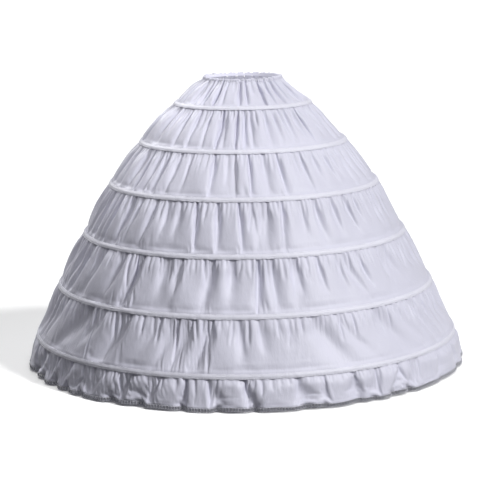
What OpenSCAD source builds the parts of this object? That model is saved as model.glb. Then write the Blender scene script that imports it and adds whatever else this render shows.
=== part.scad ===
// Tiered hoop petticoat (crinoline): gathered cloth tiers hang from an elastic waist
// and are spread by sprung wire hoops that run in sewn tape casings.
// Millimetres, +Z up, origin on the axis at mid height of the waistband.

/* [Waist] */
// Inside diameter of the waistband
waist_dia = 192; // [150:1:220]
// Height of the waistband
waistband_h = 8; // [6:0.5:20]
// Thickness of the elastic that runs in the waistband
elastic_t = 1.2; // [0.8:0.1:3]

/* [Hoop diameters] */
// First hoop, at the hips, measured at the wire's centre
hoop_1_dia = 354; // [320:1:380]
// Second hoop
hoop_2_dia = 540; // [500:1:580]
// Third hoop
hoop_3_dia = 704; // [660:1:740]
// Fourth hoop
hoop_4_dia = 845; // [800:1:890]
// Fifth hoop
hoop_5_dia = 985; // [940:1:1030]
// Sixth hoop, at the hem
hoop_6_dia = 1108; // [1060:1:1125]
// Lower edge of the flounce
hem_dia = 1132; // [1120:1:1200]

/* [Drops] */
// Waistband's middle down to the first hoop
tier_1_drop = 62; // [50:1:75]
// First hoop down to the second
tier_2_drop = 99; // [85:1:115]
// Second hoop down to the third
tier_3_drop = 108; // [95:1:125]
// Third hoop down to the fourth
tier_4_drop = 129; // [115:1:145]
// Fourth hoop down to the fifth
tier_5_drop = 134; // [120:1:150]
// Fifth hoop down to the sixth
tier_6_drop = 132; // [118:1:148]
// Sixth hoop down to the flounce's lower edge
flounce_drop = 72; // [55:1:90]
// Width of the lace below the flounce
lace_w = 9; // [5:0.5:16]

/* [Hoop wire] */
// Diameter of the coated spring wire
wire_dia = 3.2; // [2:0.1:4.5]
// Space left between the two ends of a hoop's wire
wire_end_gap = 2; // [0.5:0.5:6]
// Length of the sleeve that joins the two ends
joiner_len = 20; // [12:1:24]
// Wall of the joining sleeve
joiner_wall = 0.4; // [0.3:0.1:1]

/* [Casing tape] */
// Width of the tape that covers each hoop
tape_w = 13; // [11:0.5:18]
// Thickness of one layer of the tape
tape_t = 0.6; // [0.4:0.1:1]
// Space between the tape's two ends, where the wire is joined
tape_gap = 26; // [26:1:48]

/* [Cloth] */
// Thickness of the cloth
cloth_t = 1; // [0.6:0.1:1.6]
// Thickness of the lace
lace_t = 0.8; // [0.5:0.1:1.4]
// Gathers round the first tier
waist_gathers = 29; // [18:1:32]
// Gathers round the flounce
hem_gathers = 49; // [30:1:52]
// Depth of a gather's valley below the plain slope of its tier
gather_depth = 8; // [2:0.5:10]
// How far each tier puffs out below its gathered seam
puff = 4; // [0:0.5:8]
// Share of the depth that a gather has at its seam
seam_share = 0.3; // [0:0.05:0.6]
// Share of the depth that a gather has at the flounce's lower edge
hem_share = 0.7; // [0:0.05:1]

/* [Hidden] */
hoops = 6;
seam_gap = 0.2;      // between a tier's edge and the tape that it is sewn to
wire_clear = 0.05;   // wire in its joining sleeve
tunnel_clear = 0.4;  // wire in its casing
elastic_clear = 0.2; // elastic in the waistband
cut_over = 1;        // how far a cutter runs past what it cuts
back = 90;           // where the hoops close, degrees round from +X
tape_sides = 12;     // creases of the tape round its wire
columns = 3;         // mesh columns to a gather: its valley and its two shoulders
peak = 0.3;          // where a gather is deepest, as a share of its tier
lean = 2.5;          // how far a gather drifts round by its lower end, degrees
seed_step = 47;      // turns the pattern of gathers from tier to tier, degrees

cloth_colour = [0.90, 0.90, 0.95];
tape_colour = [0.95, 0.95, 0.98];
lace_colour = [0.97, 0.97, 0.98];
wire_colour = [0.80, 0.81, 0.83];
joiner_colour = [0.72, 0.68, 0.55];
elastic_colour = [0.93, 0.92, 0.90];

// Uneven spacing of the gathers: each term is its size in degrees and its waves to a turn
wander_terms = [[2, 3], [1.2, 7], [0.9, 13]];
// Uneven depth of the gathers: each term is its share and its waves to a turn
swell_terms = [[0.3, 5], [0.2, 11]];

// Waistband, from its bore outwards
waist_r = waist_dia / 2;
tunnel_w = elastic_t + 2 * elastic_clear;
deepest = 1 + swell_terms[0][0] + swell_terms[1][0];
band_mid_r = waist_r + 1.5 * cloth_t + tunnel_w + gather_depth * seam_share * deepest;

// Hoop wire, its joining sleeve and the tape round it
joiner_bore = wire_dia + 2 * wire_clear;
joiner_od = joiner_bore + 2 * joiner_wall;
tunnel_dia = wire_dia + 2 * tunnel_clear;
bulge_dia = tunnel_dia + 2 * tape_t;
seam_reach = tape_w / 2 + seam_gap;

// Levels from the waistband down: 0 is its lower edge, 1 to 6 are the hoops, 7 is the hem
dias = [hoop_1_dia, hoop_2_dia, hoop_3_dia, hoop_4_dia, hoop_5_dia, hoop_6_dia, hem_dia];
drops = [tier_1_drop, tier_2_drop, tier_3_drop, tier_4_drop, tier_5_drop, tier_6_drop, flounce_drop];
function fall(i) = i == 0 ? 0 : drops[i - 1] + fall(i - 1);
levels = concat(
    [[band_mid_r, -waistband_h / 2]],
    [for (i = [1:hoops + 1]) [dias[i - 1] / 2, -fall(i)]]);

function unit(v) = v / norm(v);
function outward(along) = [-along[1], along[0]];
function tier_dir(i) = unit(levels[i] - levels[i - 1]);
function tape_dir(i) = unit(tier_dir(i) + tier_dir(i + 1));

// Where a tier's edges lie: sewn to the tape or waistband above, and to the tape below
function tier_top(i) = i == 1 ? levels[0] - [0, seam_gap] : levels[i - 1] + tape_dir(i - 1) * seam_reach;
function tier_foot(i) = i > hoops ? levels[i] : levels[i] - tape_dir(i) * seam_reach;

function gathers(i) = round(waist_gathers + (hem_gathers - waist_gathers) * (i - 1) / hoops);

// The uneven run of the gathers at angle a of the even spacing
function waves(terms, a, seed, k = 0) = k == len(terms) ? 0
    : terms[k][0] * sin(terms[k][1] * a + (k + 1) * seed) + waves(terms, a, seed, k + 1);
function wander(a, seed) = a + waves(wander_terms, a, seed);
function swell(a, seed) = 1 + waves(swell_terms, a, seed);

// One row of a ring of gathered cloth: where it lies, which way is out, how far it stands
// out of that line, how deep its gathers are and how far they have drifted round
function cloth_row(at, out, stand, depth, drift) = [at, out, stand, depth, drift];

function cloth_point(row, a, count, seed, side) =
    let (turn = wander(a, seed) + row[4] * sin(2 * a + seed),
         off = row[2] - row[3] * swell(a, seed) * cos(count * a) + side,
         at = row[0] + row[1] * off)
    [at[0] * cos(turn), at[0] * sin(turn), at[1]];

// A closed ring of cloth through the rows, from the top row down
module cloth_ring(rows, count, seed, thick) {
    n = columns * count;
    m = len(rows);
    points = [for (side = [thick / 2, -thick / 2], row = rows, j = [0:n - 1])
        cloth_point(row, 360 * j / n, count, seed, side)];
    function at(inner, row, j) = (inner * m + row) * n + j % n;
    function quad(a, b, c, d) = [[a, b, c], [a, c, d]];
    faces = [for (j = [0:n - 1]) each concat(
        [for (k = [0:m - 2]) each concat(
            quad(at(0, k, j), at(0, k, j + 1), at(0, k + 1, j + 1), at(0, k + 1, j)),
            quad(at(1, k, j), at(1, k + 1, j), at(1, k + 1, j + 1), at(1, k, j + 1)))],
        quad(at(1, 0, j), at(1, 0, j + 1), at(0, 0, j + 1), at(0, 0, j)),
        quad(at(0, m - 1, j), at(0, m - 1, j + 1), at(1, m - 1, j + 1), at(1, m - 1, j)))];
    polyhedron(points, faces);
}

// A tier is gathered into the seam above it and sewn flat to the tape below it. The first tier's
// gathered edge lies level, along the waistband's lower edge
module tier(i) {
    top = tier_top(i);
    foot = tier_foot(i);
    out = outward(unit(foot - top));
    color(cloth_colour) cloth_ring([
        cloth_row(top, i == 1 ? [1, 0] : out, 0, gather_depth * seam_share, 0),
        cloth_row(top + (foot - top) * peak, out, puff, gather_depth, lean * peak),
        cloth_row(foot, out, 0, 0, lean)], gathers(i), i * seed_step, cloth_t);
}

flounce_i = hoops + 1;
flounce_dir = unit(tier_foot(flounce_i) - tier_top(flounce_i));
flounce_out = outward(flounce_dir);

// The flounce hangs free below the last hoop, so its gathers run on to its lower edge
module flounce() {
    top = tier_top(flounce_i);
    foot = tier_foot(flounce_i);
    color(cloth_colour) cloth_ring([
        cloth_row(top, flounce_out, 0, gather_depth * seam_share, 0),
        cloth_row(top + (foot - top) * peak, flounce_out, puff, gather_depth, lean * peak),
        cloth_row(foot, flounce_out, 0, gather_depth * hem_share, lean)],
        gathers(flounce_i), flounce_i * seed_step, cloth_t);
}

module lace_trim() {
    top = tier_foot(flounce_i) + flounce_dir * seam_gap;
    color(lace_colour) cloth_ring([for (down = [0, lace_w])
        cloth_row(top + flounce_dir * down, flounce_out, 0, gather_depth * hem_share, lean)],
        gathers(flounce_i), flounce_i * seed_step, lace_t);
}

// Cloth folded over the elastic: ruched outside, a plain bore inside, open to the tier below
module waist_casing() {
    ruche = gather_depth * seam_share;
    thick = band_mid_r - waist_r + cloth_t + ruche * deepest;
    color(cloth_colour) difference() {
        cloth_ring([for (z = [waistband_h, -waistband_h] / 2)
            cloth_row([band_mid_r + (cloth_t - thick) / 2, z], [1, 0], 0, ruche, 0)],
            gathers(1), seed_step, thick);
        cylinder(r = waist_r, h = waistband_h + 2 * cut_over, center = true, $fn = 96);
        rotate_extrude($fn = 96)
            translate([waist_r + cloth_t, -waistband_h / 2 - cut_over])
                square([tunnel_w, waistband_h - cloth_t + cut_over]);
    }
}

module waist_elastic() {
    tall = waistband_h - cloth_t - 2 * elastic_clear;
    color(elastic_colour) rotate_extrude($fn = 96)
        translate([waist_r + cloth_t + elastic_clear, -waistband_h / 2 + elastic_clear])
            square([elastic_t, tall]);
}

// Places a section, drawn with its length along +X, on hoop i and along its tape
module on_tape(i) {
    along = tape_dir(i);
    translate(levels[i]) rotate(atan2(along[1], along[0])) children();
}

// Degrees that a length takes up round hoop i
function arc(i, length) = length / (2 * PI * levels[i][0]) * 360;

// Two layers of tape, parted in the middle by the tunnel that the wire runs in. The tape is
// creased over the wire, so the tunnel has flat sides
module tape_section() {
    difference() {
        union() {
            circle(d = bulge_dia, $fn = tape_sides);
            square([tape_w, 2 * tape_t], center = true);
        }
        circle(d = tunnel_dia, $fn = tape_sides);
    }
}

// The tape's ends stop short of each other at the back, where the wire is put in and joined
module hoop_casing(i) {
    open = arc(i, tape_gap);
    color(tape_colour) rotate([0, 0, back + open / 2]) rotate_extrude(angle = 360 - open, $fn = 180)
        on_tape(i) tape_section();
}

module hoop_wire(i) {
    open = arc(i, wire_end_gap);
    color(wire_colour) rotate([0, 0, back + open / 2]) rotate_extrude(angle = 360 - open, $fn = 180)
        translate(levels[i]) circle(d = wire_dia, $fn = 24);
}

module hoop_joiner(i) {
    span = arc(i, joiner_len);
    color(joiner_colour) rotate([0, 0, back - span / 2]) rotate_extrude(angle = span, $fn = 180)
        translate(levels[i]) difference() {
            circle(d = joiner_od, $fn = 24);
            circle(d = joiner_bore, $fn = 24);
        }
}

waist_casing();
waist_elastic();
flounce();
lace_trim();
for (i = [1:hoops]) {
    tier(i);
    hoop_casing(i);
    hoop_wire(i);
    hoop_joiner(i);
}
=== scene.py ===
"""Dresses the hoop petticoat: gathered taffeta tiers, tape casings, ruched waist, flounce and lace.

Everything is in metres, in the part's own frame: +Z up, the front towards -Y, the origin on the axis
at mid height of the waistband.
"""
import logging
import math
from dataclasses import asdict, dataclass, field
from enum import Enum
from typing import ClassVar

import bpy
import numpy as np
from mathutils import Matrix, Vector


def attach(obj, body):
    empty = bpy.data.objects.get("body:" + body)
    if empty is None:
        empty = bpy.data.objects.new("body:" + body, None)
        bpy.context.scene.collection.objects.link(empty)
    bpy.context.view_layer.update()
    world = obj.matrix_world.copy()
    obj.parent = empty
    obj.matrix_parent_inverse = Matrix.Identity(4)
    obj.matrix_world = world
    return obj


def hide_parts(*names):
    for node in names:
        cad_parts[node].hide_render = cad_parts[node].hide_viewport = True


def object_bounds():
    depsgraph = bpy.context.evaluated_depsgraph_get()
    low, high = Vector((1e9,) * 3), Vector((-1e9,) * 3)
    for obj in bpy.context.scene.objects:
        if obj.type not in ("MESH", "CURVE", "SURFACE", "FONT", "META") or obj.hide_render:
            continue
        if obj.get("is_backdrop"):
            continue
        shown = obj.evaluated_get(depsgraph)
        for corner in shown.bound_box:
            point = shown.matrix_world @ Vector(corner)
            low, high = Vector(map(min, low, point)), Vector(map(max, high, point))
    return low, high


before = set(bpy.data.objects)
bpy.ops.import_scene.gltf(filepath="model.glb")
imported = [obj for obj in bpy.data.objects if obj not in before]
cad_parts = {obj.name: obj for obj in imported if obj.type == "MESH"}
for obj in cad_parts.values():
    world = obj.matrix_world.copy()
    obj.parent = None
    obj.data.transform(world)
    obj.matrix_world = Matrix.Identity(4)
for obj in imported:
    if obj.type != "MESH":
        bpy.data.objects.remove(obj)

log = logging.getLogger("petticoat")
TURN = 2.0 * math.pi
BACK = math.pi / 2
LEAST_LENGTH = 1e-12
FLOOR_CLEARANCE = 0.0005

Colour = tuple[float, float, float]
Xyz = tuple[float, float, float]


class Slot(Enum):
    """The record's material slots."""

    TAFFETA = "taffeta"
    TAPE = "casing_tape"
    LACE = "lace"
    ELASTIC = "elastic"
    WIRE = "hoop_wire"
    JOINER = "joiner"


class Edge(Enum):
    """How the lower edge of a ring of cloth is held."""

    SEWN_FLAT = "sewn flat to the tape below"
    WAVING = "a free hem that keeps its waves"


# Surfaces


@dataclass
class Patch:
    """A mesh in the making: points, faces of four corners and a UV pair for each corner, in metres."""

    points: np.ndarray
    quads: np.ndarray
    uvs: np.ndarray

    @staticmethod
    def grid(points: np.ndarray, uv: np.ndarray, closed_rows: bool, closed_cols: bool) -> "Patch":
        """Makes a grid of quads from rows of points.

        Args:
            points: rows x columns x 3.
            uv: (rows + closed_rows) x (columns + closed_cols) x 2, so that a wrap keeps its own values.
            closed_rows: the last row joins the first.
            closed_cols: the last column joins the first.

        Returns:
            The patch. Its faces look along (down the rows) x (along the columns).
        """
        rows, cols = points.shape[:2]
        row_starts = np.arange(rows - (not closed_rows))
        col_starts = np.arange(cols - (not closed_cols))
        k, j = (starts.ravel() for starts in np.meshgrid(row_starts, col_starts, indexing="ij"))
        corners = [(k, j), (k + 1, j), (k + 1, j + 1), (k, j + 1)]
        quads = np.stack([(a % rows) * cols + b % cols for a, b in corners], -1)
        return Patch(points.reshape(-1, 3), quads, np.stack([uv[a, b] for a, b in corners], 1))

    @staticmethod
    def joined(parts: list["Patch"]) -> "Patch":
        """Puts several patches into one, side by side.

        Args:
            parts: the patches.

        Returns:
            One patch with all their points and faces.
        """
        starts = np.cumsum([0] + [len(p.points) for p in parts[:-1]])
        return Patch(np.concatenate([p.points for p in parts]),
                     np.concatenate([p.quads + s for p, s in zip(parts, starts)]),
                     np.concatenate([p.uvs for p in parts]))

    def to_object(self, name: str, material: bpy.types.Material) -> bpy.types.Object:
        """Puts the patch into a smooth mesh object at the origin.

        Args:
            name: the piece's name.
            material: its finish.

        Returns:
            The object, linked to the scene.
        """
        mesh = bpy.data.meshes.new(name)
        mesh.vertices.add(len(self.points))
        mesh.vertices.foreach_set("co", self.points.astype(np.float32).ravel())
        mesh.loops.add(self.quads.size)
        mesh.loops.foreach_set("vertex_index", self.quads.astype(np.int32).ravel())
        mesh.polygons.add(len(self.quads))
        mesh.polygons.foreach_set("loop_start", np.arange(0, self.quads.size, 4, dtype=np.int32))
        mesh.update(calc_edges=True)
        mesh.polygons.foreach_set("use_smooth", np.ones(len(self.quads), dtype=bool))
        layer = mesh.uv_layers.new(name="UVMap")
        layer.uv.foreach_set("vector", self.uvs.astype(np.float32).ravel())
        mesh.materials.append(material)
        mesh.validate()
        piece = bpy.data.objects.new(name, mesh)
        bpy.context.scene.collection.objects.link(piece)
        return piece


def unit(v: np.ndarray) -> np.ndarray:
    """Vectors at length one, along the last axis."""
    return v / np.maximum(np.linalg.norm(v, axis=-1, keepdims=True), LEAST_LENGTH)


def smooth(x: np.ndarray) -> np.ndarray:
    """Eases 0 to 1: 3x squared less 2x cubed, held at its ends."""
    x = np.clip(x, 0.0, 1.0)
    return x * x * (3.0 - 2.0 * x)


def ripple(angle: np.ndarray, rng: np.random.Generator, low: int, high: int, count: int,
           size: float) -> np.ndarray:
    """Smooth uneven waves round a turn: a sum of sines of whole wave numbers with chance phases.

    Args:
        angle: radians.
        rng: the seeded source of the phases.
        low: fewest waves to a turn.
        high: most waves to a turn.
        count: how many sines.
        size: about the root mean square of the sum.

    Returns:
        The sum, as an array like angle.
    """
    waves = rng.integers(low, high + 1, count)
    phase = rng.uniform(0.0, TURN, count)
    return size * math.sqrt(2.0 / count) * np.sin(angle[..., None] * waves + phase).sum(-1)


def ring_points(r: np.ndarray, z: np.ndarray, angle: np.ndarray) -> np.ndarray:
    """Points at radius r and height z, turned about the axis by angle."""
    return np.stack([r * np.cos(angle), r * np.sin(angle), z + 0.0 * angle], -1)


def tube(path: np.ndarray, normal: np.ndarray, radius: float, sides: int) -> Patch:
    """A round cord along a closed path: each path point carries a circle across the path's run.

    Args:
        path: n x 3 points of a closed loop.
        normal: n x 3, a direction across the path.
        radius: of the cord.
        sides: points to its circle.

    Returns:
        The closed tube.
    """
    run = unit(np.roll(path, -1, 0) - np.roll(path, 1, 0))
    side = unit(np.cross(run, normal))
    up = np.cross(side, run)
    spin = np.arange(sides) * TURN / sides
    rows = path[None] + radius * (np.cos(spin)[:, None, None] * up + np.sin(spin)[:, None, None] * side)
    length = np.concatenate([[0.0], np.cumsum(np.linalg.norm(np.roll(path, -1, 0) - path, axis=1))])
    across = np.arange(sides + 1) * TURN * radius / sides
    uv = np.stack(np.broadcast_arrays(length[None], across[:, None]), -1)
    return Patch.grid(rows, uv, True, True)


# Cloth


@dataclass
class ClothSolver:
    """Settles a ring of cloth: a grid of points held at their woven distances, pulled down by weight.

    Each pass moves pairs of neighbours along the line between them to the distance that they have in the
    flat cut: first along the two diagonals, then between points two apart, which gives the cloth its
    stiffness to bending, then along the warp, and last along the weft.
    """

    points: np.ndarray
    free: np.ndarray
    weft: np.ndarray
    warp: np.ndarray
    shear_stiff: float = 0.25
    bend_stiff: float = 0.03
    weight: float = 0.00001
    damping: float = 0.80

    # Keep the divisions safe where points meet or both are held.
    LEAST_GAP: ClassVar[float] = 1e-9
    LEAST_FREE: ClassVar[float] = 1e-6

    @staticmethod
    def pull(a: np.ndarray, b: np.ndarray, free_a: np.ndarray, free_b: np.ndarray, rest: np.ndarray,
             stiff: float) -> None:
        """Moves two views of points, in place, towards their rest distance, each by its freedom.

        Args:
            a: points.
            b: their neighbours.
            free_a: how freely the points move, from 0 to 1.
            free_b: how freely the neighbours move.
            rest: the distances that they have in the flat cut.
            stiff: the share of the difference that is taken up.
        """
        gap = b - a
        length = np.sqrt(np.einsum("...i,...i->...", gap, gap)) + ClothSolver.LEAST_GAP
        freedom = np.maximum(free_a + free_b, ClothSolver.LEAST_FREE)
        gap *= (stiff * (length - rest) / (length * freedom))[..., None]
        a += free_a[..., None] * gap
        b -= free_b[..., None] * gap

    def along_weft(self) -> None:
        """Holds neighbours in a row: even pairs, then odd ones."""
        for shift in (0, -1):
            rolled = np.roll(self.points, shift, 1)
            self.pull(rolled[:, 0::2], rolled[:, 1::2], self.free, self.free, self.weft, 1.0)
            self.points = np.roll(rolled, -shift, 1)

    def along_warp(self) -> None:
        """Holds neighbours in a column: even pairs, then odd ones."""
        for start in (0, 1):
            a, b = self.points[start:-1:2], self.points[start + 1::2]
            self.pull(a, b, self.free[start:-1:2], self.free[start + 1::2], self.warp[start::2], 1.0)

    def along_diagonals(self) -> None:
        """Holds the weave square: each diagonal, on even and then odd pairs of rows."""
        rest = np.sqrt((0.5 * (self.weft[:-1] + self.weft[1:])) ** 2 + self.warp ** 2)
        for shift in (-1, 1):
            for start in (0, 1):
                lower = np.roll(self.points[start + 1::2], shift, 1)
                self.pull(self.points[start:-1:2], lower, self.free[start:-1:2], self.free[start + 1::2],
                          rest[start::2], self.shear_stiff)
                self.points[start + 1::2] = np.roll(lower, -shift, 1)

    def against_bending(self) -> None:
        """Holds points two apart, so that the cloth curves and doesn't crease."""
        rows, cols = self.points.shape[:2]
        for shift in (0, -2):
            rolled = np.roll(self.points, shift, 1).reshape(rows, cols // 4, 4, 3)
            self.pull(rolled[:, :, 0:2], rolled[:, :, 2:4], self.free[:, :, None], self.free[:, :, None],
                      2.0 * self.weft[:, :, None], self.bend_stiff)
            self.points = np.roll(rolled.reshape(rows, cols, 3), -shift, 1)
        for start in range(4):
            count = len(range(start, rows - 2, 4))
            a, b = self.points[start:rows - 2:4], self.points[start + 2::4][:count]
            self.pull(a, b, self.free[start:rows - 2:4], self.free[start + 2::4][:count],
                      (self.warp[:-1] + self.warp[1:])[start::4], self.bend_stiff)

    def settle(self, passes: int) -> np.ndarray:
        """Runs the passes.

        Args:
            passes: how many.

        Returns:
            rows x columns x 3 settled points.
        """
        before = self.points.copy()
        for _ in range(passes):
            moved = (self.points - before) * self.damping
            before = self.points.copy()
            self.points += moved * np.sign(self.free)[..., None]
            self.points[..., 2] -= self.weight * self.free
            self.along_diagonals()
            self.against_bending()
            self.along_warp()
            self.along_weft()
        return self.points


@dataclass
class Valleys:
    """A set of folds round a ring: each valley's place, depth, width, slant, reach and lean to one side.

    Across its line a valley is its depth over the squared hyperbolic cosine of the distance from the line.
    """

    at: np.ndarray
    depth: np.ndarray
    width: np.ndarray
    drift: np.ndarray
    reach: np.ndarray
    skew: np.ndarray

    # How uneven a set is: from valley to valley, and least and most of the usual depth and width.
    STEP_SPREAD: ClassVar[float] = 0.32
    SLANT_SHARED_BY: ClassVar[int] = 5
    SLANT_OF_ITS_OWN: ClassVar[float] = 0.35
    DEPTHS: ClassVar[tuple[float, float]] = (0.45, 1.30)
    WIDTHS: ClassVar[tuple[float, float]] = (0.6, 1.5)
    SKEW: ClassVar[float] = 0.6
    # A pinched valley's share of its width and of its depth, and what each gains as it opens.
    PINCHED_WIDTH: ClassVar[tuple[float, float]] = (0.42, 0.58)
    PINCHED_DEPTH: ClassVar[tuple[float, float]] = (0.40, 0.60)
    # So many half widths away a valley has no depth left.
    FAR: ClassVar[float] = 12.0

    @classmethod
    def scattered(cls, rng: np.random.Generator, count: int, depth: float, width: float, drift: float,
                  reach: float, uneven: float = 0.25) -> "Valleys":
        """Draws uneven valleys.

        Args:
            rng: the seeded source of chance.
            count: how many.
            depth: their usual depth.
            width: their usual half width, once they have opened.
            drift: how far their lines may slant, in radians by the far edge.
            reach: the usual share of the cloth that they run down.
            uneven: how much that share differs from valley to valley.

        Returns:
            The set.
        """
        steps = rng.lognormal(0.0, cls.STEP_SPREAD, count)
        lone = np.tile(rng.normal(0.0, drift, count), 3)
        near = np.ones(cls.SLANT_SHARED_BY) / cls.SLANT_SHARED_BY
        slant = np.convolve(lone, near, "same")[count:2 * count]
        return cls(at=np.cumsum(steps) / steps.sum() * TURN,
                   depth=depth * rng.uniform(*cls.DEPTHS, count),
                   width=width * rng.uniform(*cls.WIDTHS, count) * (steps / steps.mean()) ** 0.5,
                   drift=slant + rng.normal(0.0, cls.SLANT_OF_ITS_OWN * drift, count),
                   reach=reach * rng.lognormal(0.0, uneven, count),
                   skew=rng.uniform(-cls.SKEW, cls.SKEW, count))

    def offset(self, angle: np.ndarray, radius: np.ndarray, share: np.ndarray, opened: np.ndarray,
               kept: float) -> np.ndarray:
        """How far the cloth lies in, at each row and column.

        Args:
            angle: columns, in radians.
            radius: rows.
            share: rows, 0 at the edge that the valleys start from and 1 at the far edge.
            opened: rows, 0 where the valleys are pinched and 1 where they have full width and depth.
            kept: the share of its depth that a valley keeps past its reach.

        Returns:
            rows x columns, zero or less.
        """
        line = self.at + self.drift * share[:, None]
        way = (angle[None, :, None] - line[:, None, :] + math.pi) % TURN - math.pi
        wide = self.width * (self.PINCHED_WIDTH[0] + self.PINCHED_WIDTH[1] * opened[:, None])
        x = way * radius[:, None, None] / wide[:, None, :]
        x /= 1.0 + self.skew * np.sign(x)
        fade = 1.0 - (1.0 - kept) * smooth(share[:, None] / self.reach)
        depth = self.depth * fade * (self.PINCHED_DEPTH[0] + self.PINCHED_DEPTH[1] * opened[:, None])
        return -(depth[:, None, :] / np.cosh(np.minimum(np.abs(x), self.FAR)) ** 2).sum(-1)


@dataclass
class GatheredRing:
    """A strip of cloth sewn into a ring, gathered into the seam above it and held at its lower edge.

    Its first shape is a plain cone from top to foot, moved along its own outward way by an offset.

    Attributes:
        name: the piece's name.
        node: the node that it stands for.
        top: radius and height of the gathered edge.
        foot: radius and height of the lower edge.
        gathers: how many long folds.
        depth: a gather's usual depth.
        seed: starts the draws of chance.
        edge: how the lower edge is held.
        half_width: a gather's usual half width.
        kept: the share of its depth that a gather keeps past its reach.
        pleats_each: short pleats to a gather.
        pleat_depth: a pleat's usual depth.
        slant: how far the folds slant, in radians.
        fan: how far the gathers fan out round the ring, in radians.
        tick: size of the close ticks along the seam.
        puff: how far the cloth stands out below the seam.
        billow: size of the slow waves half way down.
        tucked: the share of the offset that is left at the seam itself.
        lift: how far pinched cloth stands out at the seam, as a share of the depth.
        groove: depth of the groove along the seam.
        calm: how much shallower the folds are towards the right of the front.
        deeper: how much deeper the folds are towards -X.
        opens_over: the way down over which the folds open.
        flare: how far the lower edge stands out.
        belly: how far the cloth bellies out towards -X.
        hem_wave: rise and fall of a free hem.
        top_under: seam allowance above the top.
        foot_under: seam allowance below a sewn foot.
        behind: how far the allowances lie behind the tape.
        thick: the cloth's thickness.
        spacing: of the points, round the lower edge.
        rows: of points.
        passes: of the solver.
        widths: each row's width in the flat cut, once settled.
        lengths: each row's place down the flat cut, once settled.
        settled: the points, once settled.
    """

    name: str
    node: str
    top: np.ndarray
    foot: np.ndarray
    gathers: int
    depth: float
    seed: int
    edge: Edge = Edge.SEWN_FLAT
    half_width: float = 0.0075
    kept: float = 0.35
    pleats_each: float = 2.2
    pleat_depth: float = 0.0105
    slant: float = 0.03
    fan: float = 0.0
    tick: float = 0.0012
    puff: float = 0.0026
    billow: float = 0.0015
    tucked: float = 0.45
    lift: float = 0.06
    groove: float = 0.0016
    calm: float = 0.0
    deeper: float = 0.0
    opens_over: float = 0.035
    flare: float = 0.0
    belly: float = 0.0
    hem_wave: float = 0.0
    top_under: float = 0.0020
    foot_under: float = 0.0020
    behind: float = 0.0015
    thick: float = 0.0008
    spacing: float = 0.0031
    rows: int = 24
    passes: int = 60
    widths: np.ndarray | None = field(default=None, repr=False)
    lengths: np.ndarray | None = field(default=None, repr=False)
    settled: np.ndarray | None = field(default=None, repr=False)

    # What all rings have in common: the grid, then the folds, then what happens along the two seams.
    QUICK_PASSES: ClassVar[int] = 20
    SPARE_COLUMNS: ClassVar[float] = 1.08
    ROWS_CLOSER: ClassVar[float] = 1.25
    WARP_QUANTILE: ClassVar[float] = 0.4
    GATHER_REACH: ClassVar[float] = 0.95
    TUCKS_EACH: ClassVar[float] = 1.8
    TICKS_EACH: ClassVar[tuple[float, float]] = (2.6, 4.2)
    CALM_AT: ClassVar[float] = -0.44
    CALM_NARROWS: ClassVar[float] = 2.5
    PUFF_RISE: ClassVar[float] = 0.012
    TICK_FADE: ClassVar[float] = 0.006
    SEAM_RISE: ClassVar[float] = 0.005
    GROOVE_AT: ClassVar[float] = 0.0015
    GROOVE_WIDTH: ClassVar[float] = 0.004
    TUCK_RISE: ClassVar[float] = 0.10
    PRESSED_OVER: ClassVar[float] = 0.12
    PRESSED: ClassVar[tuple[float, float]] = (0.15, 0.85)

    def columns(self) -> int:
        """Points round the ring, a multiple of four, at about the set spacing on the lower edge."""
        return 4 * round(TURN * self.foot[0] * self.SPARE_COLUMNS / self.spacing / 4)

    def shares(self) -> np.ndarray:
        """Each row's share of the way down, closer together near the gathered seam."""
        return np.linspace(0.0, 1.0, self.rows) ** self.ROWS_CLOSER

    def slope(self) -> float:
        """The straight length from seam to lower edge."""
        return float(np.linalg.norm(self.foot - self.top))

    @staticmethod
    def leftward(angle: np.ndarray) -> np.ndarray:
        """A share that is 1 at -X and 0 at +X: half of one less the cosine, squared."""
        return (0.5 - 0.5 * np.cos(angle)) ** 2

    def folds(self, rng: np.random.Generator) -> tuple[Valleys, Valleys, Valleys]:
        """Draws the long gathers, the short pleats below the seam and the tucks above a sewn foot.

        Args:
            rng: the seeded source of chance.

        Returns:
            The three sets.
        """
        gathers = Valleys.scattered(rng, self.gathers, self.depth, self.half_width, self.slant,
                                    self.GATHER_REACH)
        gathers.drift += self.fan * np.sin(2.0 * gathers.at + math.pi)
        pleats = Valleys.scattered(rng, int(self.pleats_each * self.gathers), self.pleat_depth,
                                   width=0.0072, drift=self.slant, reach=0.24, uneven=0.6)
        tucks = Valleys.scattered(rng, int(self.TUCKS_EACH * self.gathers), depth=0.0030,
                                  width=0.004, drift=0.03, reach=0.20, uneven=0.6)
        return gathers, pleats, tucks

    def swell(self, angle: np.ndarray, rng: np.random.Generator) -> list[np.ndarray]:
        """What is added to the folds: slow slanting billows, a puff below the seam with a flare at the
        foot, a belly towards -X, close ticks that fade from the seam, and a lift where cloth is pinched.

        Args:
            angle: the columns' angles, from +X.
            rng: the seeded source of chance.

        Returns:
            The five offsets, in that order, each for rows x columns.
        """
        share = self.shares()
        below = share * self.slope()
        half_way = np.sin(math.pi * share)[:, None]
        lean = angle[None] + share[:, None] * ripple(angle, rng, low=2, high=6, count=4, size=0.05)[None]
        billows = ripple(lean, rng, low=self.gathers // 4, high=self.gathers // 2, count=7, size=1.0)
        puff = self.puff * smooth(below / self.PUFF_RISE) * (1.0 - share) + self.flare * share
        fewest, most = (int(each * self.gathers) for each in self.TICKS_EACH)
        ticks = ripple(angle, rng, low=fewest, high=most, count=11, size=self.tick)
        pinched = 1.0 - smooth(below / self.opens_over)[:, None]
        return [self.billow * half_way * billows,
                puff[:, None],
                self.belly * half_way * self.leftward(angle),
                ticks * np.exp(-below / self.TICK_FADE)[:, None],
                self.lift * self.depth * pinched]

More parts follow.
